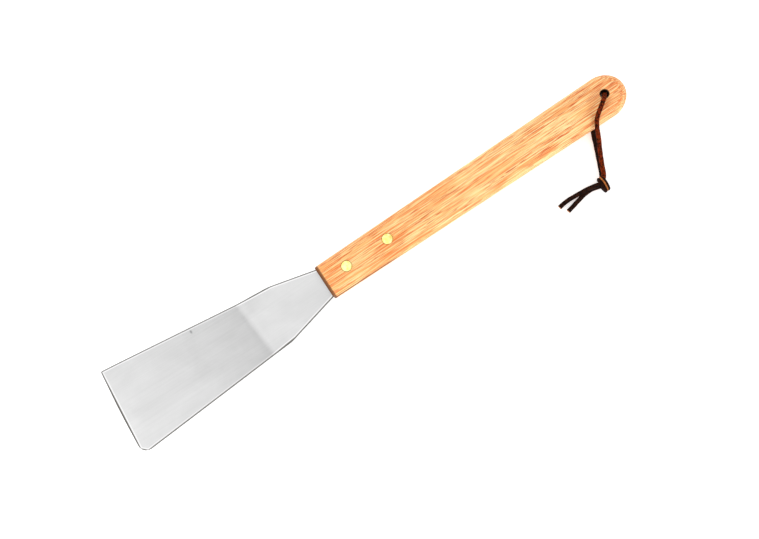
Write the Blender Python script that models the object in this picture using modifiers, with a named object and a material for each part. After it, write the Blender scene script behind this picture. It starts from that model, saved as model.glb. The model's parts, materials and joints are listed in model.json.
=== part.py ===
"""Grill spatula: a bent steel blade held in a slotted wooden handle by two brass cutlery rivets,
with a leather lace tied through a hole in the handle's butt.

Metres, +Z up.  The spatula lies on the plane z = 0 with its length along X: the blade's leading
edge is at -X and the handle's butt at +X.  The handle rests on its front lower edge and on the
lace under its butt, so the whole tool is tipped up a little towards the butt.  The tool's parts
are modelled in the handle's own frame (origin on the handle's front end, at mid thickness) and
hang from one empty that gives them that tip.
"""

import math

import bmesh
import bpy
from mathutils import Matrix, Vector

# Driving dimensions: handle
HANDLE_LENGTH = 0.2556
HANDLE_HALF_WIDTH_FRONT = 0.0133
HANDLE_HALF_WIDTH_BUTT = 0.0154
HANDLE_THICKNESS = 0.017
BUTT_END_DEPTH = 0.0170          # length of the round butt end
SIDE_ROUNDING = 0.0072
FRONT_ROUNDING = 0.0028
FRONT_CORNER_ROUNDING = 0.0018
KERF_DEPTH = 0.060               # sawn slot that takes the tang
LACE_HOLE_X = HANDLE_LENGTH - 0.0166
LACE_HOLE_RADIUS = 0.0035
LACE_HOLE_CHAMFER = 0.0006

# Driving dimensions: blade (x runs forward of the handle as a negative number)
STEEL_THICKNESS = 0.0013
TANG_LENGTH = 0.0575
TANG_HALF_WIDTH = 0.0112
NECK_HALF_WIDTH = 0.0117
SHOULDER_FAR = (-0.0360, 0.0207)
SHOULDER_NEAR = (-0.0421, -0.0221)
BEND_FAR = (-0.0614, 0.0228)
BEND_NEAR = (-0.0571, -0.0230)
TIP_FAR = (-0.1671, 0.0326)
TIP_NEAR = (-0.1712, -0.0339)
TIP_CROWN = 0.0007               # how far the leading edge bows forward at its middle
TIP_FAR_RADIUS = 0.0010
TIP_NEAR_RADIUS = 0.0064
BEND_ANGLE = math.radians(10.4)
BEND_RADIUS = 0.025
BEND_STEPS = 4
GRIND_WIDTH = 0.0116             # ground flat behind the leading edge
EDGE_THICKNESS = 0.0006

# Driving dimensions: rivets
RIVET_POSITIONS = {"front": 0.0199, "rear": 0.0546}
RIVET_HEAD_RADIUS = 0.00395
RIVET_HEAD_HEIGHT = 0.0016
RIVET_TUBE_RADIUS = 0.0025
RIVET_BORE_RADIUS = 0.0018
RIVET_PIN_RADIUS = 0.0015

# Driving dimensions: lace.  Routes are hand-placed points: x and y from the lace hole's axis,
# z above the surface that the spatula lies on.
LACE_RADIUS = 0.0016
BUTT_LIFT = 0.0042               # height of the handle's underside over the lace
LACE_POINT_SPACING = 0.0048      # close enough to follow the tight turn at the hole
FRONT_STRAND = [
    (0.0009, 0.0007, 0.01265), (0.0006, 0.0004, 0.0172), (-0.0008, -0.0011, 0.0214),
    (-0.0044, -0.0042, 0.0243), (-0.0098, -0.0080, 0.0250), (-0.0150, -0.0121, 0.0237),
    (-0.0182, -0.0170, 0.0200), (-0.0202, -0.0232, 0.0150), (-0.0224, -0.0292, 0.0108),
    (-0.0248, -0.0352, 0.0080), (-0.0274, -0.0412, 0.0064), (-0.0305, -0.0471, 0.0050),
]
BACK_STRAND = [
    (0.0009, 0.0007, 0.01235), (0.0010, 0.0007, 0.0082), (0.0002, 0.0001, 0.0044),
    (-0.0026, -0.0018, 0.0023), (-0.0078, -0.0055, 0.0017), (-0.0138, -0.0098, 0.0017),
    (-0.0186, -0.0150, 0.0017), (-0.0224, -0.0226, 0.0017), (-0.0258, -0.0312, 0.0017),
    (-0.0294, -0.0390, 0.0019), (-0.0327, -0.0450, 0.0029),
]
KNOT_CENTRE = (-0.0344, -0.0510, 0.0038)
KNOT_SIZE = (0.0086, 0.0136, 0.0072)
KNOT_TURN = math.radians(12)
TAIL_LONG = [
    (-0.0394, -0.0488, 0.0033), (-0.0450, -0.0470, 0.0023), (-0.0510, -0.0460, 0.0017),
    (-0.0571, -0.0457, 0.0017), (-0.0630, -0.0461, 0.0017), (-0.0692, -0.0472, 0.0017),
]
TAIL_SHORT = [
    (-0.0393, -0.0524, 0.0026), (-0.0450, -0.0509, 0.0018), (-0.0510, -0.0507, 0.0017),
    (-0.0570, -0.0513, 0.0017), (-0.0615, -0.0521, 0.0017), (-0.0656, -0.0530, 0.0017),
]

# Clearance left between touching pieces, and mesh resolution
FIT_GAP = 0.0003
WELD = 0.00001
ROUND_SIDES = 24
ARC_STEPS = 5
BUTT_ARC_STEPS = 20
ROUNDING_STEPS = 4
KERF_HEIGHT = STEEL_THICKNESS + 2 * FIT_GAP


def clear_scene():
    for obj in list(bpy.data.objects):
        bpy.data.objects.remove(obj, do_unlink=True)


def collection(name):
    made = bpy.data.collections.new(name)
    bpy.context.scene.collection.children.link(made)
    return made


def principled(name, colour, roughness, metallic=0.0):
    material = bpy.data.materials.new(name)
    material.use_nodes = True
    shader = material.node_tree.nodes["Principled BSDF"]
    shader.inputs["Base Color"].default_value = (*colour, 1.0)
    shader.inputs["Roughness"].default_value = roughness
    shader.inputs["Metallic"].default_value = metallic
    return material


def mesh_object(name, mesh, group, material=None):
    mesh.name = name
    obj = bpy.data.objects.new(name, mesh)
    group.objects.link(obj)
    mesh.materials.clear()
    if material:
        mesh.materials.append(material)
    return obj


def mesh_from_curve(curve):
    """The curve's evaluated mesh, with its loose caps welded on."""
    holder = bpy.data.objects.new("curve_holder", curve)
    bpy.context.scene.collection.objects.link(holder)
    evaluated = holder.evaluated_get(bpy.context.evaluated_depsgraph_get())
    mesh = bpy.data.meshes.new_from_object(evaluated)
    bpy.data.objects.remove(holder, do_unlink=True)
    bm = bmesh.new()
    bm.from_mesh(mesh)
    bmesh.ops.remove_doubles(bm, verts=bm.verts, dist=WELD)
    bmesh.ops.recalc_face_normals(bm, faces=bm.faces)
    bm.to_mesh(mesh)
    bm.free()
    return mesh


def plate_mesh(outlines, thickness):
    """A flat plate on z = 0 between an outer outline and any holes in it."""
    curve = bpy.data.curves.new("outline", "CURVE")
    curve.dimensions = "2D"
    curve.fill_mode = "BOTH"
    curve.extrude = thickness / 2
    for outline in outlines:
        spline = curve.splines.new("POLY")
        spline.points.add(len(outline) - 1)
        for point, (x, y) in zip(spline.points, outline):
            point.co = (x, y, 0.0, 1.0)
        spline.use_cyclic_u = True
    return mesh_from_curve(curve)


def rounded_outline(corners):
    """Outline through (x, y, radius) corners, each replaced by an arc of its radius."""
    points = []
    for index, (x, y, radius) in enumerate(corners):
        here = Vector((x, y))
        if radius == 0.0:
            points.append((x, y))
            continue
        to_last = (Vector(corners[index - 1][:2]) - here).normalized()
        to_next = (Vector(corners[(index + 1) % len(corners)][:2]) - here).normalized()
        half_angle = to_last.angle(to_next) / 2
        setback = radius / math.tan(half_angle)
        centre = here + (to_last + to_next).normalized() * radius / math.sin(half_angle)
        start = here + to_last * setback - centre
        end = here + to_next * setback - centre
        turn = start.angle_signed(end)
        for step in range(ARC_STEPS + 1):
            spoke = start.copy()
            spoke.rotate(Matrix.Rotation(-turn * step / ARC_STEPS, 2))
            points.append(tuple(centre + spoke))
    return points


def circle(x, radius):
    steps = [2 * math.pi * step / ROUND_SIDES for step in range(ROUND_SIDES)]
    return [(x + radius * math.cos(turn), radius * math.sin(turn)) for turn in steps]


def turned(name, profile, x, group, material=None):
    """A turned piece about a vertical axis at x, from (radius, z) points, outer side top to bottom."""
    mesh = bpy.data.meshes.new(name)
    vertices = [(radius, 0.0, z) for radius, z in profile]
    edges = [(index, index + 1) for index in range(len(profile) - 1)]
    mesh.from_pydata(vertices, edges, [])
    obj = mesh_object(name, mesh, group, material)
    obj.location = (x, 0.0, 0.0)
    screw = obj.modifiers.new("Turn", "SCREW")
    screw.steps = ROUND_SIDES
    screw.render_steps = ROUND_SIDES
    screw.use_merge_vertices = True
    screw.merge_threshold = WELD
    screw.use_smooth_shade = False
    return obj


def smooth_by_angle(mesh, degrees):
    mesh.shade_smooth()
    mesh.set_sharp_from_angle(angle=math.radians(degrees))


def cut(obj, cutters):
    for cutter in cutters:
        cutter.hide_render = True
        cutter.display_type = "WIRE"
        boolean = obj.modifiers.new("Cut " + cutter.name, "BOOLEAN")
        boolean.operation = "DIFFERENCE"
        boolean.solver = "EXACT"
        boolean.object = cutter


# Handle

def handle_outline():
    butt = []
    for step in range(BUTT_ARC_STEPS + 1):
        turn = math.pi * step / BUTT_ARC_STEPS - math.pi / 2
        butt.append((HANDLE_LENGTH - BUTT_END_DEPTH + BUTT_END_DEPTH * math.cos(turn),
                     HANDLE_HALF_WIDTH_BUTT * math.sin(turn)))
    front = [(0.0, HANDLE_HALF_WIDTH_FRONT), (0.0, -HANDLE_HALF_WIDTH_FRONT)]
    return butt + front


def mark_rounded_edges(bm):
    """Bevel weights: full on the long rims, less on the front rims and the front corners."""
    weights = bm.edges.layers.float.new("bevel_weight_edge")
    for edge in bm.edges:
        a, b = (vertex.co for vertex in edge.verts)
        at_front = max(a.x, b.x) < WELD
        if abs(a.z - b.z) < WELD:
            edge[weights] = FRONT_ROUNDING / SIDE_ROUNDING if at_front else 1.0
        elif at_front:
            edge[weights] = FRONT_CORNER_ROUNDING / SIDE_ROUNDING


def lace_hole_cutter(group):
    half = HANDLE_THICKNESS / 2
    over = LACE_HOLE_CHAMFER
    wide = LACE_HOLE_RADIUS + 2 * LACE_HOLE_CHAMFER
    profile = [
        (0.0, half + over), (wide, half + over), (LACE_HOLE_RADIUS, half - LACE_HOLE_CHAMFER),
        (LACE_HOLE_RADIUS, -half + LACE_HOLE_CHAMFER), (wide, -half - over), (0.0, -half - over),
    ]
    return turned("lace_hole_cutter", profile, LACE_HOLE_X, group)


def rivet_hole_cutter(place, x, group):
    half = HANDLE_THICKNESS / 2
    seat = half - RIVET_HEAD_HEIGHT - FIT_GAP
    over = half + FIT_GAP
    head = RIVET_HEAD_RADIUS + FIT_GAP
    shank = RIVET_TUBE_RADIUS + FIT_GAP
    profile = [
        (0.0, over), (head, over), (head, seat), (shank, seat),
        (shank, -seat), (head, -seat), (head, -over), (0.0, -over),
    ]
    return turned("rivet_" + place + "_cutter", profile, x, group)


def kerf_cutter(group):
    bpy.ops.mesh.primitive_cube_add(size=1.0)
    obj = bpy.context.object
    obj.name = "kerf_cutter"
    obj.scale = (2 * KERF_DEPTH, 3 * HANDLE_HALF_WIDTH_FRONT, KERF_HEIGHT)
    for owner in list(obj.users_collection):
        owner.objects.unlink(obj)
    group.objects.link(obj)
    return obj


def make_handle(parts, cutters, wood):
    mesh = plate_mesh([handle_outline()], HANDLE_THICKNESS)
    bm = bmesh.new()
    bm.from_mesh(mesh)
    bmesh.ops.dissolve_limit(bm, angle_limit=math.radians(1), verts=bm.verts, edges=bm.edges)
    mark_rounded_edges(bm)
    bm.to_mesh(mesh)
    bm.free()
    obj = mesh_object("handle", mesh, parts, wood)
    rounding = obj.modifiers.new("Rounding", "BEVEL")
    rounding.limit_method = "WEIGHT"
    rounding.width = SIDE_ROUNDING
    rounding.segments = ROUNDING_STEPS
    tools = [kerf_cutter(cutters), lace_hole_cutter(cutters)]
    tools += [rivet_hole_cutter(place, x, cutters) for place, x in RIVET_POSITIONS.items()]
    cut(obj, tools)
    return [obj] + tools


# Blade

def blade_outline():
    tip_middle = ((TIP_FAR[0] + TIP_NEAR[0]) / 2 - TIP_CROWN, 0.0)
    corners = [
        (TANG_LENGTH, -TANG_HALF_WIDTH, 0.004), (TANG_LENGTH, TANG_HALF_WIDTH, 0.004),
        (0.0, NECK_HALF_WIDTH, 0.010), (*SHOULDER_FAR, 0.055), (*BEND_FAR, 0.030),
        (*TIP_FAR, TIP_FAR_RADIUS), (*tip_middle, 0.5), (*TIP_NEAR, TIP_NEAR_RADIUS),
        (*BEND_NEAR, 0.030), (*SHOULDER_NEAR, 0.020), (0.0, -NECK_HALF_WIDTH, 0.010),
    ]
    return rounded_outline(corners)


def slice_plate(bm, point, normal):
    geometry = bm.verts[:] + bm.edges[:] + bm.faces[:]
    bmesh.ops.bisect_plane(bm, geom=geometry, plane_co=point, plane_no=normal, dist=WELD)


def grind_leading_edge(bm):
    """Thin the upper face evenly from the grind line to the leading edge."""
    far = Vector((*TIP_FAR, 0.0))
    near = Vector((*TIP_NEAR, 0.0))
    back = (far - near).cross(Vector((0.0, 0.0, 1.0))).normalized()
    slice_plate(bm, far + back * GRIND_WIDTH, back)
    for vertex in bm.verts:
        depth = GRIND_WIDTH - (vertex.co - far).dot(back)
        if depth > 0 and vertex.co.z > 0:
            thinning = (STEEL_THICKNESS - EDGE_THICKNESS) * min(depth / GRIND_WIDTH, 1.0)
            vertex.co.z -= thinning


def bend_blade(bm):
    """Bend the plate upwards about the slightly skewed line between the two bend points."""
    near = Vector((*BEND_NEAR, 0.0))
    along = (Vector((*BEND_FAR, 0.0)) - near).normalized()
    forward = Vector((0.0, 0.0, 1.0)).cross(along)
    arc_length = BEND_RADIUS * BEND_ANGLE
    start = near - forward * arc_length / 2
    for step in range(BEND_STEPS + 1):
        slice_plate(bm, start + forward * arc_length * step / BEND_STEPS, forward)
    for vertex in bm.verts:
        offset = vertex.co - start
        ahead = offset.dot(forward)
        if ahead <= 0:
            continue
        turn = min(ahead / BEND_RADIUS, BEND_ANGLE)
        straight = max(ahead - arc_length, 0.0)
        radius = BEND_RADIUS - vertex.co.z
        reach = radius * math.sin(turn) + straight * math.cos(turn)
        rise = BEND_RADIUS - radius * math.cos(turn) + straight * math.sin(turn)
        sideways = along * offset.dot(along)
        vertex.co = start + sideways + forward * reach + Vector((0.0, 0.0, rise))


def make_blade(parts, steel):
    outlines = [blade_outline()]
    outlines += [circle(x, RIVET_TUBE_RADIUS + FIT_GAP) for x in RIVET_POSITIONS.values()]
    mesh = plate_mesh(outlines, STEEL_THICKNESS)
    bm = bmesh.new()
    bm.from_mesh(mesh)
    grind_leading_edge(bm)
    bend_blade(bm)
    bm.to_mesh(mesh)
    bm.free()
    return mesh_object("blade", mesh, parts, steel)


# Rivets

def make_rivet(place, x, parts, brass):
    """A pressed two-piece rivet: a pin half from above driven into a tube half from below."""
    face = HANDLE_THICKNESS / 2
    head_inside = face - RIVET_HEAD_HEIGHT
    tube_end = head_inside - FIT_GAP
    pin_profile = [
        (0.0, face), (RIVET_HEAD_RADIUS, face), (RIVET_HEAD_RADIUS, head_inside),
        (RIVET_PIN_RADIUS, head_inside), (RIVET_PIN_RADIUS, -head_inside + FIT_GAP),
        (0.0, -head_inside + FIT_GAP),
    ]
    tube_profile = [
        (0.0, -head_inside), (RIVET_BORE_RADIUS, -head_inside), (RIVET_BORE_RADIUS, tube_end),
        (RIVET_TUBE_RADIUS, tube_end), (RIVET_TUBE_RADIUS, -head_inside),
        (RIVET_HEAD_RADIUS, -head_inside), (RIVET_HEAD_RADIUS, -face), (0.0, -face),
    ]
    pin = turned("rivet_" + place + "_pin", pin_profile, x, parts, brass)
    tube = turned("rivet_" + place + "_tube", tube_profile, x, parts, brass)
    return [pin, tube]


# Lace

def smooth_route(points, spacing):
    """Points about a spacing apart on a Catmull-Rom curve through the given ones."""
    ends = [points[0] * 2 - points[1]] + points + [points[-1] * 2 - points[-2]]
    fine = []
    steps = 16
    for before, start, end, after in zip(ends, ends[1:], ends[2:], ends[3:]):
        for step in range(steps):
            t = step / steps
            fine.append(0.5 * (2 * start + (end - before) * t
                               + (2 * before - 5 * start + 4 * end - after) * t ** 2
                               + (3 * start - before - 3 * end + after) * t ** 3))
    fine.append(points[-1])
    lengths = [0.0]
    for a, b in zip(fine, fine[1:]):
        lengths.append(lengths[-1] + (b - a).length)
    count = max(round(lengths[-1] / spacing), 3)
    route = []
    index = 0
    for step in range(count + 1):
        wanted = lengths[-1] * step / count
        while index < len(fine) - 2 and lengths[index + 1] < wanted:
            index += 1
        share = (wanted - lengths[index]) / (lengths[index + 1] - lengths[index])
        route.append(fine[index].lerp(fine[index + 1], share))
    return route


def lace_tube(name, points, hole, parts, leather):
    """A round tube along the route, with its origin on the lace hole's axis."""
    curve = bpy.data.curves.new(name, "CURVE")
    curve.dimensions = "3D"
    curve.bevel_depth = LACE_RADIUS
    curve.bevel_resolution = 2
    curve.use_fill_caps = True
    route = smooth_route([Vector(point) for point in points], LACE_POINT_SPACING)
    spline = curve.splines.new("POLY")
    spline.points.add(len(route) - 1)
    for target, point in zip(spline.points, route):
        target.co = (*point, 1.0)
    curve.materials.append(leather)
    obj = bpy.data.objects.new(name, curve)
    obj.location = hole
    parts.objects.link(obj)
    return obj


def make_knot(hole, parts, leather):
    bm = bmesh.new()
    bmesh.ops.create_uvsphere(bm, u_segments=16, v_segments=10, radius=0.5)
    bmesh.ops.scale(bm, vec=KNOT_SIZE, verts=bm.verts)
    turn = Matrix.Rotation(KNOT_TURN, 3, "Z")
    bmesh.ops.rotate(bm, matrix=turn, verts=bm.verts)
    bmesh.ops.translate(bm, vec=KNOT_CENTRE, verts=bm.verts)
    mesh = bpy.data.meshes.new("lace_knot")
    bm.to_mesh(mesh)
    bm.free()
    smooth_by_angle(mesh, 60)
    obj = mesh_object("lace_knot", mesh, parts, leather)
    obj.location = hole
    return obj


def make_lace(hole, parts, leather):
    lace_tube("lace_front_strand", FRONT_STRAND, hole, parts, leather)
    lace_tube("lace_back_strand", BACK_STRAND, hole, parts, leather)
    lace_tube("lace_tail_long", TAIL_LONG, hole, parts, leather)
    lace_tube("lace_tail_short", TAIL_SHORT, hole, parts, leather)
    make_knot(hole, parts, leather)


# Assembly

def tipped_frame(parts):
    """The empty that the tool's parts hang from, tipped so that the butt clears the lace."""
    frame = bpy.data.objects.new("tool_frame", None)
    parts.objects.link(frame)
    frame.rotation_euler.y = -math.atan(BUTT_LIFT / (LACE_HOLE_X - FRONT_ROUNDING))
    return frame


def centre_on_origin(frame, pieces):
    """Stand the tool on z = 0, with the middle of its box over the origin."""
    depsgraph = bpy.context.evaluated_depsgraph_get()
    points = []
    for piece in pieces:
        if piece.hide_render:
            continue
        evaluated = piece.evaluated_get(depsgraph)
        points += [evaluated.matrix_world @ vertex.co for vertex in evaluated.to_mesh().vertices]
        evaluated.to_mesh_clear()
    low = Vector([min(point[axis] for point in points) for axis in range(3)])
    high = Vector([max(point[axis] for point in points) for axis in range(3)])
    frame.location = (-(low.x + high.x) / 2, -(low.y + high.y) / 2, -low.z)
    bpy.context.view_layer.update()


def main():
    clear_scene()
    parts = collection("grill_spatula")
    cutters = collection("cutters")
    wood = principled("handle_wood", (0.80, 0.48, 0.22), 0.55)
    steel = principled("blade_steel", (0.72, 0.72, 0.73), 0.32, 1.0)
    brass = principled("rivet_brass", (0.86, 0.70, 0.28), 0.30, 1.0)
    leather = principled("lace_leather", (0.17, 0.07, 0.03), 0.65)

    frame = tipped_frame(parts)
    pieces = make_handle(parts, cutters, wood)
    pieces.append(make_blade(parts, steel))
    for place, x in RIVET_POSITIONS.items():
        pieces += make_rivet(place, x, parts, brass)
    for piece in pieces:
        piece.parent = frame
    centre_on_origin(frame, pieces)

    hole = frame.matrix_world @ Vector((LACE_HOLE_X, 0.0, 0.0))
    make_lace(Vector((hole.x, hole.y, 0.0)), parts, leather)


main()
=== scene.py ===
"""The grill spatula's looks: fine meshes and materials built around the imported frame.

Everything is in metres in the row frame.  The rigid parts are modelled in the tool's own frame
(origin on the handle's front end at mid thickness, +X to the butt, +Z out of the upper face),
which is found from the lace joint, and the lace in the row frame from the lace hole.
"""
import json
import math

import bmesh
import bpy
from mathutils import Matrix, Vector


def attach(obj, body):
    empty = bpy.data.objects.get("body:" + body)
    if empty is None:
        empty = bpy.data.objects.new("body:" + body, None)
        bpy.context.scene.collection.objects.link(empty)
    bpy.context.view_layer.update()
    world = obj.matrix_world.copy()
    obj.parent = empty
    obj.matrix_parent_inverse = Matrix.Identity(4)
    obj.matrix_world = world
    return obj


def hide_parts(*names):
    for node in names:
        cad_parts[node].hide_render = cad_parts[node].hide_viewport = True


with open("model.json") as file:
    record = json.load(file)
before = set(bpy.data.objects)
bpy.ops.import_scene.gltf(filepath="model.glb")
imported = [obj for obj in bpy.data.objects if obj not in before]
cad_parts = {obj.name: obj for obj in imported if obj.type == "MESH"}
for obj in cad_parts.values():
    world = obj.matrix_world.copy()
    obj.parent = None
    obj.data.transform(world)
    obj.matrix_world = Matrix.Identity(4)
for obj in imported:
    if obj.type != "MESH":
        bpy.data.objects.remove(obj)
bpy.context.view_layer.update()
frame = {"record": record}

# Handle sizes, as in the CAD
HANDLE_LENGTH = 0.2556
HANDLE_HALF_WIDTH_FRONT = 0.0133
HANDLE_HALF_WIDTH_BUTT = 0.0154
HANDLE_THICKNESS = 0.017
BUTT_END_DEPTH = 0.0170
SIDE_ROUNDING = 0.0072
FRONT_ROUNDING = 0.0028
FRONT_CORNER_ROUNDING = 0.0018
KERF_DEPTH = 0.060
LACE_HOLE_X = HANDLE_LENGTH - 0.0166
LACE_HOLE_RADIUS = 0.0031             # a little tighter than the CAD's, as its wall is dark
LACE_HOLE_CHAMFER = 0.0004

# Blade sizes, as in the CAD
STEEL_THICKNESS = 0.0013
TANG_LENGTH = 0.0575
TANG_HALF_WIDTH = 0.0112
NECK_HALF_WIDTH = 0.0117
SHOULDER_FAR = (-0.0360, 0.0207)
SHOULDER_NEAR = (-0.0421, -0.0221)
BEND_FAR = (-0.0614, 0.0228)
BEND_NEAR = (-0.0571, -0.0230)
TIP_FAR = (-0.1671, 0.0326)
TIP_NEAR = (-0.1712, -0.0339)
TIP_CROWN = 0.0007
TIP_CROWN_RADIUS = 0.5
TIP_FAR_RADIUS = 0.0010
TIP_NEAR_RADIUS = 0.0064
TANG_CORNER_RADIUS = 0.004
NECK_RADIUS = 0.010
SHOULDER_FAR_RADIUS = 0.055
SHOULDER_NEAR_RADIUS = 0.020
BEND_CORNER_RADIUS = 0.030
BEND_ANGLE = math.radians(10.4)
BEND_RADIUS = 0.025
GRIND_WIDTH = 0.0116
EDGE_THICKNESS = 0.0006

# Rivet sizes, as in the CAD
RIVET_POSITIONS = {"front": 0.0199, "rear": 0.0546}
RIVET_HEAD_RADIUS = 0.00395
RIVET_HEAD_HEIGHT = 0.0016
RIVET_TUBE_RADIUS = 0.0025
RIVET_BORE_RADIUS = 0.0018
RIVET_PIN_RADIUS = 0.0015
FIT_GAP = 0.0003

# Lace width and routes, close to the CAD's: x and y from the lace hole's axis, z from the floor
LACE_WIDTH = 0.0032
FRONT_STRAND = [
    (0.0009, 0.0007, 0.01265), (0.0006, 0.0004, 0.0172), (-0.0008, -0.0011, 0.0214),
    (-0.0044, -0.0042, 0.0243), (-0.0098, -0.0080, 0.0250), (-0.0150, -0.0121, 0.0237),
    (-0.0181, -0.0171, 0.0200), (-0.0203, -0.0232, 0.0150), (-0.0229, -0.0289, 0.0108),
    (-0.0256, -0.0347, 0.0084), (-0.0283, -0.0406, 0.0069), (-0.0312, -0.0466, 0.0056),
]
BACK_STRAND = [
    (0.0009, 0.0007, 0.01235), (0.0010, 0.0007, 0.0082), (0.0002, 0.0001, 0.0044),
    (-0.0026, -0.0018, 0.0023), (-0.0078, -0.0055, 0.0018), (-0.0138, -0.0098, 0.0018),
    (-0.0181, -0.0153, 0.0018), (-0.0215, -0.0232, 0.0018), (-0.0252, -0.0316, 0.0018),
    (-0.0287, -0.0394, 0.0019), (-0.0319, -0.0456, 0.0026),
]
TAIL_LONG = [
    (-0.0390, -0.0490, 0.0048), (-0.0454, -0.0477, 0.0044), (-0.0517, -0.0470, 0.0033),
    (-0.0575, -0.0464, 0.0020), (-0.0632, -0.0463, 0.0018), (-0.0692, -0.0472, 0.0018),
]
TAIL_SHORT = [
    (-0.0385, -0.0502, 0.0022), (-0.0440, -0.0490, 0.0018), (-0.0502, -0.0494, 0.0018),
    (-0.0567, -0.0509, 0.0018), (-0.0614, -0.0520, 0.0018), (-0.0656, -0.0530, 0.0018),
]
STRAND_END = (-0.0360, -0.0500, 0.0040)
TAIL_LONG_START = (-0.0345, -0.0500, 0.0040)
TAIL_SHORT_START = (-0.0345, -0.0520, 0.0034)
KNOT_CENTRE = (-0.0344, -0.0510, 0.0042)
KNOT_TURN = math.radians(2)

# Camera: the view of the whole tool, given by where it looks and from where
CAMERA_AIM = (-0.0051, -0.0137, 0.0100)
CAMERA_DISTANCE = 0.8084
CAMERA_TILT = math.radians(10.2)      # from straight down
CAMERA_SIDE = math.radians(-93.9)     # compass direction of the tilt, from +X
CAMERA_ROLL = math.radians(33.54)
CAMERA_LENS = 53.87

# Studio: a dim white room, softboxes as (name, place, size, watts), and a floor that glows a little
WORLD_STRENGTH = 0.79
AREA_LIGHTS = [
    ("overhead", (-0.60, 0.30, 1.5), 1.4, 5.3),
    ("near_side", (0.25, -1.3, 0.7), 0.9, 8.5),
    ("far_side", (0.30, 1.5, 0.7), 0.9, 4.0),
]
FLOOR_GLOW = 0.42
FLOOR_SIZE = 6.0

JOINT = next(j for j in frame["record"]["behaviour"]["joints"] if j["name"] == "lace_swing")
HOLE = Vector(JOINT["pos_m"])
TOOL_UP = Vector(JOINT["axis"]).normalized()
TOOL_ALONG = Vector((TOOL_UP.z, 0.0, -TOOL_UP.x)).normalized()
FLOOR_HOLE = Vector((HOLE.x, HOLE.y, 0.0))
WELD = 0.00001                        # points closer than this are one point


def tool_matrix():
    """From the tool's own frame to the row frame."""
    across = TOOL_UP.cross(TOOL_ALONG)
    turn = Matrix((TOOL_ALONG, across, TOOL_UP)).transposed()
    return Matrix.Translation(HOLE - TOOL_ALONG * LACE_HOLE_X) @ turn.to_4x4()


# Camera, light and floor

def make_camera():
    back = Vector((math.sin(CAMERA_TILT) * math.cos(CAMERA_SIDE),
                   math.sin(CAMERA_TILT) * math.sin(CAMERA_SIDE), math.cos(CAMERA_TILT)))
    level = (Vector((1.0, 0.0, 0.0)) - back * back.x).normalized()
    upward = back.cross(level)
    right = level * math.cos(CAMERA_ROLL) - upward * math.sin(CAMERA_ROLL)
    up = level * math.sin(CAMERA_ROLL) + upward * math.cos(CAMERA_ROLL)
    data = bpy.data.cameras.new("camera")
    data.lens = CAMERA_LENS
    data.clip_start = 0.01
    camera = bpy.data.objects.new("camera", data)
    bpy.context.scene.collection.objects.link(camera)
    camera.matrix_world = (Matrix.Translation(Vector(CAMERA_AIM) + back * CAMERA_DISTANCE)
                           @ Matrix((right, up, back)).transposed().to_4x4())
    bpy.context.scene.camera = camera


def area_light(name, place, size, watts):
    data = bpy.data.lights.new(name, "AREA")
    data.shape = "SQUARE"
    data.size = size
    data.energy = watts
    light = bpy.data.objects.new(name, data)
    bpy.context.scene.collection.objects.link(light)
    light.location = place
    light.rotation_mode = "QUATERNION"
    light.rotation_quaternion = (-Vector(place)).to_track_quat("-Z", "Y")


def make_studio():
    bpy.context.scene.view_settings.view_transform = "Standard"
    world = bpy.data.worlds.new("studio")
    bpy.context.scene.world = world
    world.use_nodes = True
    background = world.node_tree.nodes["Background"]
    background.inputs["Color"].default_value = (1.0, 1.0, 1.0, 1.0)
    background.inputs["Strength"].default_value = WORLD_STRENGTH
    for name, place, size, watts in AREA_LIGHTS:
        area_light(name, place, size, watts)
    bpy.ops.mesh.primitive_plane_add(size=FLOOR_SIZE)
    floor = bpy.context.object
    floor.name = "floor"
    material, shader = new_material("pale_floor")[:2]
    shader.inputs["Base Color"].default_value = (0.93, 0.93, 0.93, 1.0)
    shader.inputs["Roughness"].default_value = 0.9
    shader.inputs["Specular IOR Level"].default_value = 0.1
    shader.inputs["Emission Color"].default_value = (1.0, 1.0, 1.0, 1.0)
    shader.inputs["Emission Strength"].default_value = FLOOR_GLOW
    floor.data.materials.append(material)


# Node helpers

def new_material(name):
    material = bpy.data.materials.new(name)
    material.use_nodes = True
    tree = material.node_tree
    return material, tree.nodes["Principled BSDF"], tree.nodes, tree.links


def object_place(nodes):
    return nodes.new("ShaderNodeTexCoord").outputs["Object"]


def mapped(nodes, links, scale):
    """Object coordinates, stretched by a scale on each axis."""
    mapping = nodes.new("ShaderNodeMapping")
    mapping.inputs["Scale"].default_value = scale
    links.new(object_place(nodes), mapping.inputs["Vector"])
    return mapping.outputs["Vector"]


def noise(nodes, links, vector, scale=1.0, detail=4.0, roughness=0.5, distortion=0.0):
    texture = nodes.new("ShaderNodeTexNoise")
    texture.inputs["Scale"].default_value = scale
    texture.inputs["Detail"].default_value = detail
    texture.inputs["Roughness"].default_value = roughness
    texture.inputs["Distortion"].default_value = distortion
    links.new(vector, texture.inputs["Vector"])
    return texture.outputs["Fac"]


def ramp(nodes, links, value, stops):
    """A colour ramp from (position, colour) stops."""
    node = nodes.new("ShaderNodeValToRGB")
    elements = node.color_ramp.elements
    while len(elements) < len(stops):
        elements.new(0.5)
    for element, (position, colour) in zip(elements, stops):
        element.position = position
        element.color = (*colour, 1.0)
    links.new(value, node.inputs["Fac"])
    return node.outputs["Color"]


def grey(value):
    return (value, value, value)


def mix_colour(nodes, links, factor, a, b, blend="MIX"):
    """Mix of two colours, each a socket or a plain colour."""
    node = nodes.new("ShaderNodeMix")
    node.data_type = "RGBA"
    node.blend_type = blend
    for socket, value in ((node.inputs[0], factor), (node.inputs[6], a), (node.inputs[7], b)):
        if isinstance(value, bpy.types.NodeSocket):
            links.new(value, socket)
        elif isinstance(value, float):
            socket.default_value = value
        else:
            socket.default_value = (*value, 1.0)
    return node.outputs[2]


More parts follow.
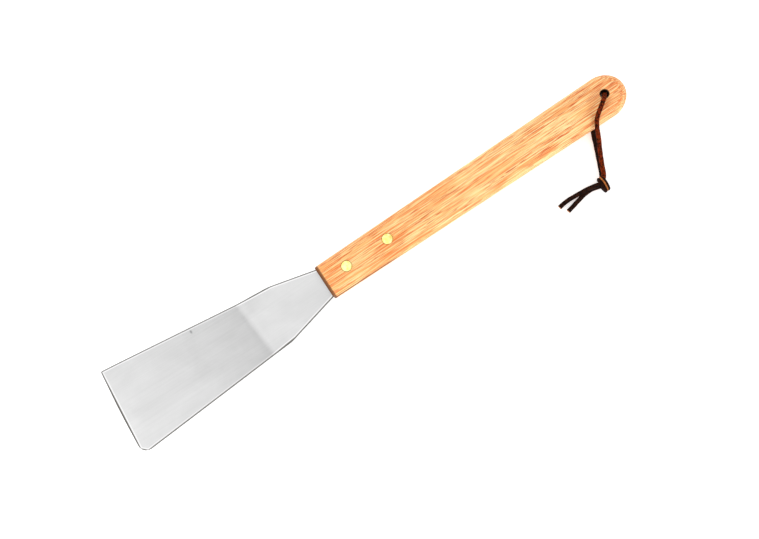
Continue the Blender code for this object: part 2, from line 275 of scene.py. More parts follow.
def maths(nodes, links, operation, a, b=None, clamp=False):
    node = nodes.new("ShaderNodeMath")
    node.operation = operation
    node.use_clamp = clamp
    for socket, value in zip(node.inputs, (a, b)):
        if isinstance(value, bpy.types.NodeSocket):
            links.new(value, socket)
        elif value is not None:
            socket.default_value = value
    return node.outputs["Value"]


def vector_maths(nodes, links, operation, vector, value=None):
    node = nodes.new("ShaderNodeVectorMath")
    node.operation = operation
    links.new(vector, node.inputs[0])
    if value is not None:
        node.inputs[1].default_value = value
    return node.outputs["Value" if operation in ("LENGTH", "DOT_PRODUCT") else "Vector"]


def axis_value(nodes, links, vector, axis):
    node = nodes.new("ShaderNodeSeparateXYZ")
    links.new(vector, node.inputs["Vector"])
    return node.outputs[axis]


def near_point(nodes, links, point, stretch, inner, outer):
    """A mask that is 1 within the inner distance of a point and 0 beyond the outer one."""
    vector = vector_maths(nodes, links, "SUBTRACT", object_place(nodes), point)
    vector = vector_maths(nodes, links, "MULTIPLY", vector, stretch)
    length = vector_maths(nodes, links, "LENGTH", vector)
    inwards = maths(nodes, links, "MULTIPLY", length, -1.0 / (outer - inner))
    return maths(nodes, links, "ADD", inwards, outer / (outer - inner), True)


def edge_distance(nodes, links, lines):
    """Distance in plan to the nearest of some straight lines, each through two points."""
    place = object_place(nodes)
    nearest = None
    for a, b in lines:
        across = Vector((a.y - b.y, b.x - a.x, 0.0)).normalized()
        product = vector_maths(nodes, links, "DOT_PRODUCT", place, across)
        distance = maths(nodes, links, "SUBTRACT", product, a.dot(across))
        distance = maths(nodes, links, "ABSOLUTE", distance)
        if nearest is not None:
            distance = maths(nodes, links, "MINIMUM", nearest, distance)
        nearest = distance
    return nearest


def bump(nodes, links, height, strength, distance, onto=None):
    node = nodes.new("ShaderNodeBump")
    node.inputs["Strength"].default_value = strength
    node.inputs["Distance"].default_value = distance
    links.new(height, node.inputs["Height"])
    if onto is not None:
        links.new(onto, node.inputs["Normal"])
    return node.outputs["Normal"]


# Materials

# Marks on the steel as (place, stretch, reach, strength): a nick and a faint cloudy patch
STEEL_MARKS = [
    ((-0.1416, 0.0233, 0.0), (1.0, 0.6, 0.0), 0.0011, 0.75),
    ((-0.0728, 0.0033, 0.0), (1.0, 1.4, 0.0), 0.0100, 0.07),
]


BORE_SHADE_TO = 0.0001                 # painted shade of the lace hole, reaching these beyond the lace hole's wall
BORE_SHADE_FADES_BY = 0.0007


def wood_grain(nodes, links):
    """Layers of grain: broad bands, dark streaks, light streaks and pores."""
    broad = noise(nodes, links, mapped(nodes, links, (7.0, 150.0, 150.0)), 1.0, 3.0, 0.5, 0.6)
    base = ramp(nodes, links, broad, [
        (0.32, (0.82, 0.34, 0.105)), (0.46, (0.95, 0.46, 0.155)),
        (0.56, (1.0, 0.58, 0.215)), (0.70, (1.0, 0.70, 0.31))])
    streaks = noise(nodes, links, mapped(nodes, links, (34.0, 900.0, 800.0)), 1.0, 5.0, 0.6, 0.4)
    streak_mask = ramp(nodes, links, streaks, [(0.48, grey(0.0)), (0.60, grey(0.85))])
    colour = mix_colour(nodes, links, streak_mask, base, (0.84, 0.215, 0.052))
    light = noise(nodes, links, mapped(nodes, links, (26.0, 1200.0, 900.0)), 1.0, 3.0)
    light_mask = ramp(nodes, links, light, [(0.47, grey(0.0)), (0.58, grey(0.9))])
    colour = mix_colour(nodes, links, light_mask, colour, (1.0, 0.76, 0.36))
    pores = noise(nodes, links, mapped(nodes, links, (90.0, 2300.0, 1600.0)), 1.0, 2.0, 0.4)
    patches = noise(nodes, links, mapped(nodes, links, (18.0, 160.0, 160.0)), 1.0, 2.0)
    patch_mask = ramp(nodes, links, patches, [(0.38, grey(0.3)), (0.55, grey(1.0))])
    pore_mask = ramp(nodes, links, pores, [(0.54, grey(0.0)), (0.62, grey(0.9))])
    pore_mask = mix_colour(nodes, links, 1.0, pore_mask, patch_mask, "MULTIPLY")
    colour = mix_colour(nodes, links, pore_mask, colour, (0.60, 0.105, 0.030))
    return colour, streaks, pore_mask


def wood_ends(nodes, links, colour):
    """Adds a tint along the handle, a dark line of painted shade along its sides near the front,
    the dark front end and painted shade in the lace hole."""
    from_front = maths(nodes, links, "SUBTRACT", axis_value(nodes, links, object_place(nodes), "X"),
                       HOLE.x - LACE_HOLE_X * TOOL_ALONG.x)
    share = maths(nodes, links, "DIVIDE", from_front, HANDLE_LENGTH)
    tint = ramp(nodes, links, share, [
        (0.0, (1.0, 0.86, 0.79)), (0.27, (1.0, 0.96, 0.93)), (0.55, (1.0, 1.0, 1.0)),
        (0.84, (1.0, 1.0, 1.0)), (0.96, (0.98, 0.90, 0.90))])
    colour = mix_colour(nodes, links, 1.0, colour, tint, "MULTIPLY")
    # Painted shade: the sides, found by their sideways normals, darkened near the front
    normal = nodes.new("ShaderNodeNewGeometry").outputs["Normal"]
    upwards = maths(nodes, links, "MULTIPLY", axis_value(nodes, links, normal, "Z"), 0.5)
    upwards = maths(nodes, links, "ADD", upwards, 0.5)
    edge = ramp(nodes, links, upwards, [
        (0.46, grey(0.0)), (0.50, grey(1.0)), (0.57, grey(1.0)), (0.64, grey(0.0))])
    near_front = ramp(nodes, links, share, [(0.18, grey(1.0)), (0.24, grey(0.0))])
    edge = mix_colour(nodes, links, 1.0, edge, near_front, "MULTIPLY")
    colour = mix_colour(nodes, links, edge, colour, (0.14, 0.040, 0.010))
    end_share = maths(nodes, links, "DIVIDE", from_front, FRONT_ROUNDING)
    end_grain = ramp(nodes, links, end_share, [
        (0.10, grey(1.0)), (0.70, grey(0.85)), (0.95, grey(0.0))])
    colour = mix_colour(nodes, links, end_grain, colour, (0.17, 0.060, 0.018))
    # Painted shade: the lace hole's wall and eased mouth darkened nearly to black
    bore_shade = near_point(nodes, links, HOLE, (1.0, 1.0, 0.0), LACE_HOLE_RADIUS + BORE_SHADE_TO,
                      LACE_HOLE_RADIUS + BORE_SHADE_FADES_BY)
    return mix_colour(nodes, links, bore_shade, colour, (0.016, 0.008, 0.005))


def wood_material():
    material, shader, nodes, links = new_material("oak_handle")
    colour, streaks, pore_mask = wood_grain(nodes, links)
    links.new(wood_ends(nodes, links, colour), shader.inputs["Base Color"])
    rough = ramp(nodes, links, streaks, [(0.3, grey(0.50)), (0.7, grey(0.62))])
    links.new(rough, shader.inputs["Roughness"])
    shader.inputs["Specular IOR Level"].default_value = 0.22
    normal = bump(nodes, links, streaks, 0.25, 0.0002)
    dark = maths(nodes, links, "SUBTRACT", 1.0, pore_mask)
    normal = bump(nodes, links, dark, 0.2, 0.00012, normal)
    links.new(normal, shader.inputs["Normal"])
    return material


LINE_SPAN = 0.01                      # between the two points that give a corner's line


def corner_line(before, corner, after, radius):
    """Two points of the line that touches the middle of a rounded corner."""
    corner = Vector(corner)
    to_before = (Vector(before) - corner).normalized()
    to_after = (Vector(after) - corner).normalized()
    inwards = (to_before + to_after).normalized()
    middle = corner + inwards * radius * (1 / math.sin(to_before.angle(to_after) / 2) - 1)
    return tuple(middle), tuple(middle + LINE_SPAN * Vector((-inwards.y, inwards.x)))


BLADE_EDGES = [
    ((0.0, -NECK_HALF_WIDTH), SHOULDER_NEAR), (BEND_NEAR, TIP_NEAR), (TIP_NEAR, TIP_FAR),
    (TIP_FAR, BEND_FAR), (SHOULDER_FAR, (0.0, NECK_HALF_WIDTH)),
    corner_line(TIP_FAR, TIP_NEAR, BEND_NEAR, TIP_NEAR_RADIUS),
]
EDGE_SHINE_WIDTH = 0.0018             # reach of the painted shade on the rim and the painted highlight line inside it
NECK_SHADE_START = -0.13               # x in the row frame where the painted shade over the bend and back to the handle starts
NECK_SHADE_LENGTH = 0.10


def steel_material():
    material, shader, nodes, links = new_material("brushed_blade")
    along = noise(nodes, links, mapped(nodes, links, (6.0, 900.0, 10.0)), 1.0, 5.0, 0.7)
    fine = noise(nodes, links, mapped(nodes, links, (30.0, 5200.0, 30.0)), 1.0, 3.0, 0.7)
    cloud = noise(nodes, links, mapped(nodes, links, (28.0, 45.0, 20.0)), 1.0, 4.0, 0.55, 0.5)
    base = ramp(nodes, links, cloud, [(0.3, grey(0.575)), (0.7, grey(0.655))])
    lines = ramp(nodes, links, along, [(0.3, grey(0.92)), (0.7, grey(1.0))])
    base = mix_colour(nodes, links, 1.0, base, lines, "MULTIPLY")
    # Painted shade: the steel darkened from in front of the bend back along the neck
    along_x = axis_value(nodes, links, object_place(nodes), "X")
    share = maths(nodes, links, "SUBTRACT", along_x, NECK_SHADE_START)
    share = maths(nodes, links, "DIVIDE", share, NECK_SHADE_LENGTH)
    neck = ramp(nodes, links, share, [
        (0.22, grey(1.0)), (0.33, grey(0.90)), (0.60, grey(0.94)), (0.87, grey(0.95))])
    base = mix_colour(nodes, links, 1.0, base, neck, "MULTIPLY")
    for point, stretch, reach, strength in STEEL_MARKS:
        mark = near_point(nodes, links, point, stretch, 0.0, reach)
        mark = maths(nodes, links, "MULTIPLY", mark, strength)
        base = mix_colour(nodes, links, mark, base, grey(0.10))
    matrix = tool_matrix()
    edges = [[matrix @ bent(Vector((*end, 0.0))) for end in line] for line in BLADE_EDGES]
    inwards = maths(nodes, links, "DIVIDE", edge_distance(nodes, links, edges), EDGE_SHINE_WIDTH)
    # Painted highlight: a bright line just inside the blade's edges
    shine = ramp(nodes, links, inwards, [
        (0.45, grey(0.0)), (0.60, grey(0.8)), (0.75, grey(0.8)), (1.0, grey(0.0))])
    base = mix_colour(nodes, links, shine, base, grey(0.80))
    # Painted shade: a dark, rough rim along the blade's edges for its shaded sides and the shadow
    # below
    rim = ramp(nodes, links, inwards, [(0.24, grey(1.0)), (0.46, grey(0.0))])
    base = mix_colour(nodes, links, rim, base, (0.27, 0.26, 0.24))
    links.new(base, shader.inputs["Base Color"])
    shader.inputs["Metallic"].default_value = 1.0
    rough = ramp(nodes, links, along, [(0.3, grey(0.34)), (0.7, grey(0.42))])
    rough = mix_colour(nodes, links, rim, rough, grey(0.9))
    links.new(rough, shader.inputs["Roughness"])
    normal = bump(nodes, links, fine, 0.08, 0.00004)
    normal = bump(nodes, links, along, 0.03, 0.0001, normal)
    links.new(normal, shader.inputs["Normal"])
    return material


def brass_material():
    material, shader, nodes, links = new_material("rivet_brass")
    cloud = noise(nodes, links, mapped(nodes, links, (420.0, 420.0, 420.0)), 1.0, 3.0)
    base = ramp(nodes, links, cloud, [(0.35, (0.93, 0.70, 0.16)), (0.65, (1.0, 0.90, 0.42))])
    links.new(base, shader.inputs["Base Color"])
    shader.inputs["Metallic"].default_value = 1.0
    scratches = noise(nodes, links, mapped(nodes, links, (600.0, 9000.0, 600.0)), 1.0, 2.0)
    rough = ramp(nodes, links, scratches, [(0.3, grey(0.26)), (0.7, grey(0.40))])
    links.new(rough, shader.inputs["Roughness"])
    links.new(bump(nodes, links, scratches, 0.08, 0.00003), shader.inputs["Normal"])
    return material


def leather_material(name, dark, light, flesh):
    """Oiled leather: mottled between two colours, with flecks of the flesh's colour."""
    material, shader, nodes, links = new_material(name)
    mottle = noise(nodes, links, mapped(nodes, links, (560.0, 560.0, 560.0)), 1.0, 5.0, 0.65)
    base = ramp(nodes, links, mottle, [(0.42, dark), (0.58, light)])
    fuzz = noise(nodes, links, mapped(nodes, links, (1500.0, 1500.0, 1500.0)), 1.0, 4.0, 0.6)
    fleck = ramp(nodes, links, fuzz, [(0.55, grey(0.0)), (0.72, grey(0.45))])
    base = mix_colour(nodes, links, fleck, base, flesh)
    links.new(base, shader.inputs["Base Color"])
    shader.inputs["Roughness"].default_value = 0.6
    shader.inputs["Specular IOR Level"].default_value = 0.05
    normal = bump(nodes, links, mottle, 0.35, 0.0003)
    normal = bump(nodes, links, fuzz, 0.30, 0.00015, normal)
    links.new(normal, shader.inputs["Normal"])
    return material


def flesh_material():
    material, shader, nodes, links = new_material("leather_cut_edge")
    fibre = noise(nodes, links, mapped(nodes, links, (1100.0, 1100.0, 1100.0)), 1.0, 5.0, 0.7)
    base = ramp(nodes, links, fibre, [(0.35, (0.20, 0.05, 0.012)), (0.68, (0.72, 0.26, 0.06))])
    links.new(base, shader.inputs["Base Color"])
    shader.inputs["Roughness"].default_value = 0.85
    shader.inputs["Specular IOR Level"].default_value = 0.2
    links.new(bump(nodes, links, fibre, 0.5, 0.0003), shader.inputs["Normal"])
    return material


# Mesh helpers

def rounded_outline(corners, steps):
    """Outline through (x, y, radius) corners, each replaced by an arc of its radius."""
    points = []
    for index, (x, y, radius) in enumerate(corners):
        here = Vector((x, y))
        to_last = (Vector(corners[index - 1][:2]) - here).normalized()
        to_next = (Vector(corners[(index + 1) % len(corners)][:2]) - here).normalized()
        half_angle = to_last.angle(to_next) / 2
        setback = radius / math.tan(half_angle)
        centre = here + (to_last + to_next).normalized() * radius / math.sin(half_angle)
        start = here + to_last * setback - centre
        end = here + to_next * setback - centre
        turn = start.angle_signed(end)
        for step in range(steps + 1):
            spoke = start.copy()
            spoke.rotate(Matrix.Rotation(-turn * step / steps, 2))
            points.append(tuple(centre + spoke))
    return points


def circle(x, radius, sides):
    steps = [2 * math.pi * step / sides for step in range(sides)]
    return [(x + radius * math.cos(turn), radius * math.sin(turn)) for turn in steps]


def plate_bmesh(outlines, thickness):
    """A flat plate on z = 0 between an outer outline and any holes in it."""
    curve = bpy.data.curves.new("outline", "CURVE")
    curve.dimensions = "2D"
    curve.fill_mode = "BOTH"
    curve.extrude = thickness / 2
    for outline in outlines:
        spline = curve.splines.new("POLY")
        spline.points.add(len(outline) - 1)
        for point, (x, y) in zip(spline.points, outline):
            point.co = (x, y, 0.0, 1.0)
        spline.use_cyclic_u = True
    holder = bpy.data.objects.new("curve_holder", curve)
    bpy.context.scene.collection.objects.link(holder)
    evaluated = holder.evaluated_get(bpy.context.evaluated_depsgraph_get())
    mesh = bpy.data.meshes.new_from_object(evaluated)
    bpy.data.objects.remove(holder, do_unlink=True)
    bm = bmesh.new()
    bm.from_mesh(mesh)
    bpy.data.meshes.remove(mesh)
    bmesh.ops.remove_doubles(bm, verts=bm.verts, dist=WELD)
    bmesh.ops.recalc_face_normals(bm, faces=bm.faces)
    return bm


def object_from(bm, name, material=None):
    mesh = bpy.data.meshes.new(name)
    bm.to_mesh(mesh)
    bm.free()
    obj = bpy.data.objects.new(name, mesh)
    bpy.context.scene.collection.objects.link(obj)
    if material:
        mesh.materials.append(material)
    return obj


def turned(name, profile, x, sides, material=None):
    """A turned piece about a vertical axis at x, from (radius, z) points in order."""
    mesh = bpy.data.meshes.new(name)
    edges = [(index, index + 1) for index in range(len(profile) - 1)]
    mesh.from_pydata([(radius, 0.0, z) for radius, z in profile], edges, [])
    obj = bpy.data.objects.new(name, mesh)
    bpy.context.scene.collection.objects.link(obj)
    screw = obj.modifiers.new("Turn", "SCREW")
    screw.steps = sides
    screw.render_steps = sides
    screw.use_merge_vertices = True
    screw.merge_threshold = WELD
    screw.use_smooth_shade = False
    obj.location = (x, 0.0, 0.0)
    if material:
        mesh.materials.append(material)
    return obj


def applied(obj):
    """Replaces the object's mesh by its evaluated one, and clears its modifiers."""
    bpy.context.view_layer.update()
    evaluated = obj.evaluated_get(bpy.context.evaluated_depsgraph_get())
    mesh = bpy.data.meshes.new_from_object(evaluated)
    obj.modifiers.clear()
    obj.data = mesh


def smooth(obj, degrees):
    obj.data.shade_smooth()
    obj.data.set_sharp_from_angle(angle=math.radians(degrees))


def seat(obj, body, slot, *nodes):
    """Bakes the tool frame into a piece, puts it on its body and hides the nodes it stands for."""
    obj.data.transform(tool_matrix() @ obj.matrix_world)
    obj.matrix_world = Matrix.Identity(4)
    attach(obj, body)
    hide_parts(*nodes)


# Handle

BUTT_STEPS = 48
ROUNDING_STEPS = 9
HOLE_SIDES = 64
FLAT_ANGLE = math.radians(0.5)        # faces closer to flat than this are joined
HANDLE_SMOOTH = 28                    # degrees; edges sharper than this stay sharp


def handle_outline():
    points = []
    for step in range(BUTT_STEPS + 1):
        turn = math.pi * step / BUTT_STEPS - math.pi / 2
        points.append((HANDLE_LENGTH - BUTT_END_DEPTH + BUTT_END_DEPTH * math.cos(turn),
                       HANDLE_HALF_WIDTH_BUTT * math.sin(turn)))
    return points + [(0.0, HANDLE_HALF_WIDTH_FRONT), (0.0, -HANDLE_HALF_WIDTH_FRONT)]


def handle_cutters():
    """The lace hole, whose mouths are eased in two slopes, the rivet bores and the kerf."""
    half = HANDLE_THICKNESS / 2
    lip = LACE_HOLE_CHAMFER
    wide = LACE_HOLE_RADIUS + 2 * lip
    hole = turned("hole_cutter", [
        (0.0, half + lip), (wide, half + lip), (LACE_HOLE_RADIUS + 0.4 * lip, half - 0.4 * lip),
        (LACE_HOLE_RADIUS, half - 1.3 * lip), (LACE_HOLE_RADIUS, -half + 1.3 * lip),
        (LACE_HOLE_RADIUS + 0.4 * lip, -half + 0.4 * lip), (wide, -half - lip),
        (0.0, -half - lip)], LACE_HOLE_X, HOLE_SIDES)
    cutters = [hole]
    seat_z = half - RIVET_HEAD_HEIGHT - FIT_GAP
    head = RIVET_HEAD_RADIUS + 0.5 * FIT_GAP
    shank = RIVET_TUBE_RADIUS + FIT_GAP
    for end, x in RIVET_POSITIONS.items():
        cutters.append(turned(end + "_cutter", [
            (0.0, half + lip), (head, half + lip), (head, seat_z), (shank, seat_z),
            (shank, -seat_z), (head, -seat_z), (head, -half - lip), (0.0, -half - lip)],
            x, HOLE_SIDES))
    bm = bmesh.new()
    bmesh.ops.create_cube(bm, size=1.0)
    bmesh.ops.scale(bm, verts=bm.verts, vec=(
        2 * KERF_DEPTH, 3 * HANDLE_HALF_WIDTH_FRONT, STEEL_THICKNESS + 2 * FIT_GAP))
    cutters.append(object_from(bm, "kerf_cutter"))
    return cutters


def make_handle(wood):
    bm = plate_bmesh([handle_outline()], HANDLE_THICKNESS)
    bmesh.ops.dissolve_limit(bm, angle_limit=FLAT_ANGLE, verts=bm.verts, edges=bm.edges)
    weights = bm.edges.layers.float.new("bevel_weight_edge")
    for edge in bm.edges:
        a, b = (vertex.co for vertex in edge.verts)
        at_front = max(a.x, b.x) < WELD
        if abs(a.z - b.z) < WELD:
            edge[weights] = FRONT_ROUNDING / SIDE_ROUNDING if at_front else 1.0
        elif at_front:
            edge[weights] = FRONT_CORNER_ROUNDING / SIDE_ROUNDING
    obj = object_from(bm, "wooden_handle", wood)
    rounding = obj.modifiers.new("Rounding", "BEVEL")
    rounding.limit_method = "WEIGHT"
    rounding.width = SIDE_ROUNDING
    rounding.segments = ROUNDING_STEPS
    cutters = handle_cutters()
    for cutter in cutters:
        cut = obj.modifiers.new("Cut", "BOOLEAN")
        cut.operation = "DIFFERENCE"
        cut.solver = "EXACT"
        cut.object = cutter
    applied(obj)
    for cutter in cutters:
        bpy.data.objects.remove(cutter, do_unlink=True)
    smooth(obj, HANDLE_SMOOTH)
    seat(obj, "spatula", "handle_wood", "handle")


# Blade

CORNER_STEPS = 10
BEND_STEPS = 10
PLATE_HOLE_SIDES = 32
EDGE_ANGLE = math.radians(50)         # edges sharper than this are rounded
EDGE_ROUNDING = 0.00032
BLADE_SMOOTH = 12


def blade_outline():
    tip_middle = ((TIP_FAR[0] + TIP_NEAR[0]) / 2 - TIP_CROWN, 0.0)
    corners = [
        (TANG_LENGTH, -TANG_HALF_WIDTH, TANG_CORNER_RADIUS),
        (TANG_LENGTH, TANG_HALF_WIDTH, TANG_CORNER_RADIUS),
        (0.0, NECK_HALF_WIDTH, NECK_RADIUS),
        (*SHOULDER_FAR, SHOULDER_FAR_RADIUS),
        (*BEND_FAR, BEND_CORNER_RADIUS),
        (*TIP_FAR, TIP_FAR_RADIUS),
        (*tip_middle, TIP_CROWN_RADIUS),
        (*TIP_NEAR, TIP_NEAR_RADIUS),
        (*BEND_NEAR, BEND_CORNER_RADIUS),
        (*SHOULDER_NEAR, SHOULDER_NEAR_RADIUS),
        (0.0, -NECK_HALF_WIDTH, NECK_RADIUS),
    ]
    return rounded_outline(corners, CORNER_STEPS)


def slice_plate(bm, point, normal):
    geometry = bm.verts[:] + bm.edges[:] + bm.faces[:]
    bmesh.ops.bisect_plane(bm, geom=geometry, plane_co=point, plane_no=normal, dist=WELD)


def grind_leading_edge(bm):
    far = Vector((*TIP_FAR, 0.0))
    near = Vector((*TIP_NEAR, 0.0))
    back = (far - near).cross(Vector((0.0, 0.0, 1.0))).normalized()
    slice_plate(bm, far + back * GRIND_WIDTH, back)
    for vertex in bm.verts:
        depth = GRIND_WIDTH - (vertex.co - far).dot(back)
        if depth > 0 and vertex.co.z > 0:
            vertex.co.z -= (STEEL_THICKNESS - EDGE_THICKNESS) * min(depth / GRIND_WIDTH, 1.0)


BEND_LINE_START = Vector((*BEND_NEAR, 0.0))
BEND_LINE = (Vector((*BEND_FAR, 0.0)) - BEND_LINE_START).normalized()
BEND_FORWARD = Vector((0.0, 0.0, 1.0)).cross(BEND_LINE)
BEND_LENGTH = BEND_RADIUS * BEND_ANGLE
BEND_START = BEND_LINE_START - BEND_FORWARD * BEND_LENGTH / 2


def bent(point):
    """Where a point of the flat plate goes when the blade is bent up about its skewed line."""
    offset = point - BEND_START
    ahead = offset.dot(BEND_FORWARD)
    if ahead <= 0:
        return point
    turn = min(ahead / BEND_RADIUS, BEND_ANGLE)
    straight = max(ahead - BEND_LENGTH, 0.0)
    radius = BEND_RADIUS - point.z
    reach = radius * math.sin(turn) + straight * math.cos(turn)
    rise = BEND_RADIUS - radius * math.cos(turn) + straight * math.sin(turn)
    sideways = BEND_LINE * offset.dot(BEND_LINE)
    return BEND_START + sideways + BEND_FORWARD * reach + Vector((0.0, 0.0, rise))


def bend_blade(bm):
    """Bends the plate, sliced along the bend and once beyond each end of it."""
    for step in range(-1, BEND_STEPS + 2):
        slice_plate(bm, BEND_START + BEND_FORWARD * BEND_LENGTH * step / BEND_STEPS, BEND_FORWARD)
    for vertex in bm.verts:
        vertex.co = bent(vertex.co.copy())


def make_blade(steel):
    outlines = [blade_outline()]
    for x in RIVET_POSITIONS.values():
        outlines.append(circle(x, RIVET_TUBE_RADIUS + FIT_GAP, PLATE_HOLE_SIDES))
    bm = plate_bmesh(outlines, STEEL_THICKNESS)
    grind_leading_edge(bm)
    bend_blade(bm)
    obj = object_from(bm, "steel_blade", steel)
    edge = obj.modifiers.new("Edge", "BEVEL")
    edge.limit_method = "ANGLE"
    edge.angle_limit = EDGE_ANGLE
    edge.width = EDGE_ROUNDING
    edge.segments = 2
    applied(obj)
    smooth(obj, BLADE_SMOOTH)
    seat(obj, "spatula", "blade_steel", "blade")


# Rivets

RIVET_SIDES = 64
FACE_STEPS = 5
DOME = 0.00012
RIM_ROUNDING = 0.0002
RIVET_SMOOTH = 25


def rivet_face(z, outward):
    """Profile of a slightly domed head from its middle to its rim, at height z."""
    points = []
    for step in range(FACE_STEPS + 1):
        radius = (RIVET_HEAD_RADIUS - RIM_ROUNDING) * step / FACE_STEPS
        points.append((radius, z + outward * DOME * (1 - (radius / RIVET_HEAD_RADIUS) ** 2)))
    points.append((RIVET_HEAD_RADIUS, z - outward * RIM_ROUNDING))
    return points


def make_rivets(brass):
    face = HANDLE_THICKNESS / 2
    inside = face - RIVET_HEAD_HEIGHT
    for end, x in RIVET_POSITIONS.items():
        pin_profile = rivet_face(face, 1) + [
            (RIVET_HEAD_RADIUS, inside), (RIVET_PIN_RADIUS, inside),
            (RIVET_PIN_RADIUS, -inside + FIT_GAP), (0.0, -inside + FIT_GAP)]
        tube_profile = [
            (0.0, -inside), (RIVET_BORE_RADIUS, -inside), (RIVET_BORE_RADIUS, inside - FIT_GAP),
            (RIVET_TUBE_RADIUS, inside - FIT_GAP), (RIVET_TUBE_RADIUS, -inside),
            (RIVET_HEAD_RADIUS, -inside)] + rivet_face(-face, -1)[::-1]
        for half, profile in (("pin", pin_profile), ("tube", tube_profile)):
            name = "rivet_" + end + "_" + half
            obj = turned("brass_" + name, profile, x, RIVET_SIDES, brass)
            applied(obj)
            smooth(obj, RIVET_SMOOTH)
            seat(obj, "spatula", "rivet_brass", name)


# Lace

SPLINE_STEPS = 24
SECTION_SIDES = 20
LACE_HEIGHT = 0.0029
LACE_STEP = 0.0009
LACE_WAVER = 0.03
LACE_SMOOTH = 50
FLESH_SIDES = range(12, 17)           # the sides of the section that face down


def spline_points(points, count):
    """Evenly spaced points on a Catmull-Rom curve through the given ones."""
    points = [Vector(point) for point in points]
    ends = [points[0] * 2 - points[1]] + points + [points[-1] * 2 - points[-2]]
    fine = []
    for before, start, end, after in zip(ends, ends[1:], ends[2:], ends[3:]):
        for step in range(SPLINE_STEPS):
            t = step / SPLINE_STEPS
            fine.append(0.5 * (2 * start + (end - before) * t
                               + (2 * before - 5 * start + 4 * end - after) * t ** 2
                               + (3 * start - before - 3 * end + after) * t ** 3))
    fine.append(points[-1])
    lengths = [0.0]
    for a, b in zip(fine, fine[1:]):
        lengths.append(lengths[-1] + (b - a).length)
    route = []
    index = 0
    for step in range(count + 1):
        wanted = lengths[-1] * step / count
        while index < len(fine) - 2 and lengths[index + 1] < wanted:
            index += 1
        share = (wanted - lengths[index]) / (lengths[index + 1] - lengths[index])
        route.append(fine[index].lerp(fine[index + 1], share))
    return route, lengths[-1]


def lace_section(width):
    """A rounded square section as (across, up) points; the flesh side is at the bottom."""
    points = []
    for step in range(SECTION_SIDES):
        turn = 2 * math.pi * (step + 0.5) / SECTION_SIDES
        c, s = math.cos(turn), math.sin(turn)
        points.append((width / 2 * math.copysign(abs(c) ** 0.7, c),
                       LACE_HEIGHT / 2 * math.copysign(abs(s) ** 0.7, s)))
    return points


def lace_mesh(name, route, up, width, materials, cut_sides, cut_to=1.0):
    """A leather strip swept along a route; cut_sides are the section's sides in the paler material,
    over the first cut_to of its length."""
    bm = bmesh.new()
    section = lace_section(width)
    rings = []
    side_up = up.copy()
    for index, here in enumerate(route):
        ahead = route[min(index + 1, len(route) - 1)] - route[max(index - 1, 0)]
        ahead.normalize()
        side_up = (side_up - ahead * side_up.dot(ahead)).normalized()
        across = ahead.cross(side_up)
        ring = []
        for number, (a, b) in enumerate(section):
            wobble = 1.0 + LACE_WAVER * math.sin(index * 0.83 + number * 1.7 + len(route))
            ring.append(bm.verts.new(here + (across * a + side_up * b) * wobble))
        rings.append(ring)
    bm.verts.ensure_lookup_table()
    for ring, following in zip(rings, rings[1:]):
        for number in range(SECTION_SIDES):
            after = (number + 1) % SECTION_SIDES
            face = bm.faces.new((ring[number], ring[after], following[after], following[number]))
            pale = number in cut_sides and len(bm.faces) < cut_to * SECTION_SIDES * len(route)
            face.material_index = 1 if pale else 0
    for ring in (rings[0], rings[-1]):
        cap = bm.faces.new(ring)
        cap.material_index = 1
    bmesh.ops.recalc_face_normals(bm, faces=bm.faces)
    obj = object_from(bm, name)
    for material in materials:
        obj.data.materials.append(material)
    smooth(obj, LACE_SMOOTH)
    return obj


def from_hole(points):
    return [Vector(point) + FLOOR_HOLE for point in points]


def make_strand(name, points, node, up, materials):
    span = sum((Vector(b) - Vector(a)).length for a, b in zip(points, points[1:]))
    route, length = spline_points(from_hole(points), int(span / LACE_STEP))
    obj = lace_mesh(name, route, Vector(up), LACE_WIDTH, materials, FLESH_SIDES)
    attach(obj, "lace")
    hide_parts(node)


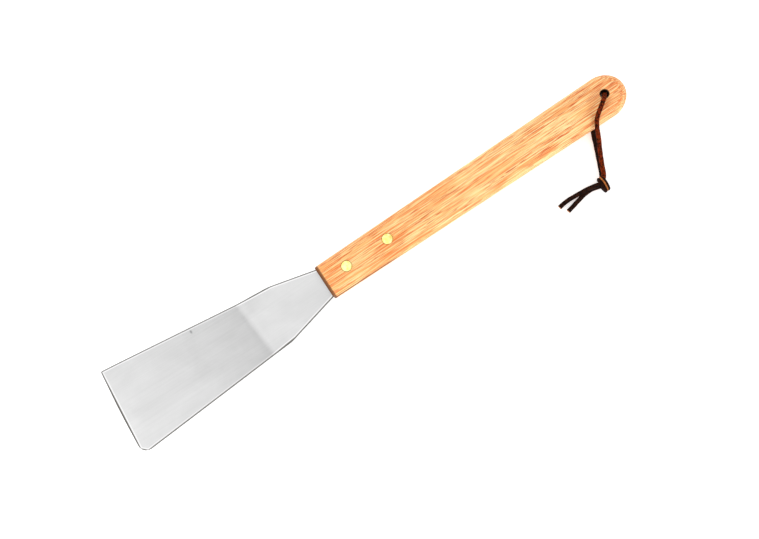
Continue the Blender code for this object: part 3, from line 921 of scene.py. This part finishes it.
KNOT_STEPS = 72
KNOT_TURNS = 2.0
KNOT_HALF_WIDTH = 0.0045
KNOT_HALF_HEIGHT = 0.0023
KNOT_PITCH = 0.0028
KNOT_REACH = 0.52                     # most along the coil from its middle, in pitches
KNOT_FIRST_WRAP = 1.15                # height of the first wrap, in half heights
KNOT_STRIP_WIDTH = 0.0029
KNOT_SLOPE = 0.30                     # how much lower the last wrap lies than the first
KNOT_CUT_SIDES = range(1, 4)
KNOT_CUT_SHARE = 0.5


def knot_route():
    """The wrap of the overhand knot: a flattened coil about the line from strands to tails."""
    turn = Matrix.Rotation(KNOT_TURN, 3, "Z")
    centre = Vector(KNOT_CENTRE) + FLOOR_HOLE
    route = []
    for step in range(KNOT_STEPS + 1):
        share = step / KNOT_STEPS
        angle = 2 * math.pi * KNOT_TURNS * share - math.pi * 0.5
        along = (0.5 - share) * KNOT_PITCH * KNOT_TURNS
        along = max(-KNOT_PITCH * KNOT_REACH, min(KNOT_PITCH * KNOT_REACH, along))
        height = KNOT_HALF_HEIGHT * (KNOT_FIRST_WRAP - KNOT_SLOPE * share)
        local = Vector((along, KNOT_HALF_WIDTH * math.cos(angle), height * math.sin(angle)))
        route.append(centre + turn @ local)
    return route


def make_knot(materials):
    obj = lace_mesh("leather_knot", knot_route(), Vector((0.0, 0.0, -1.0)), KNOT_STRIP_WIDTH,
                    materials, KNOT_CUT_SIDES, KNOT_CUT_SHARE)
    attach(obj, "lace")
    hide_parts("lace_knot")
    return obj


def make_lace():
    brown = leather_material("brown_leather", (0.006, 0.0012, 0.0006), (0.19, 0.018, 0.001),
                             (0.60, 0.130, 0.004))
    dark = leather_material("dark_leather", (0.003, 0.0012, 0.001), (0.022, 0.0065, 0.003),
                            (0.12, 0.030, 0.006))
    cut = flesh_material()
    knot = make_knot([dark, cut])
    up = (0.0, 0.0, 1.0)
    make_strand("lace_over_handle", FRONT_STRAND + [STRAND_END], "lace_front_strand",
                (0.6, 0.8, 0.0), [brown, cut])
    make_strand("lace_under_handle", BACK_STRAND + [STRAND_END], "lace_back_strand",
                (-0.6, -0.8, 0.0), [dark, cut])
    make_strand("lace_end_long", [TAIL_LONG_START] + TAIL_LONG, "lace_tail_long", up,
                [dark, cut])
    make_strand("lace_end_short", [TAIL_SHORT_START] + TAIL_SHORT, "lace_tail_short", up,
                [dark, cut])


def main():
    make_camera()
    make_studio()
    make_lace()
    make_handle(wood_material())
    make_blade(steel_material())
    make_rivets(brass_material())


main()
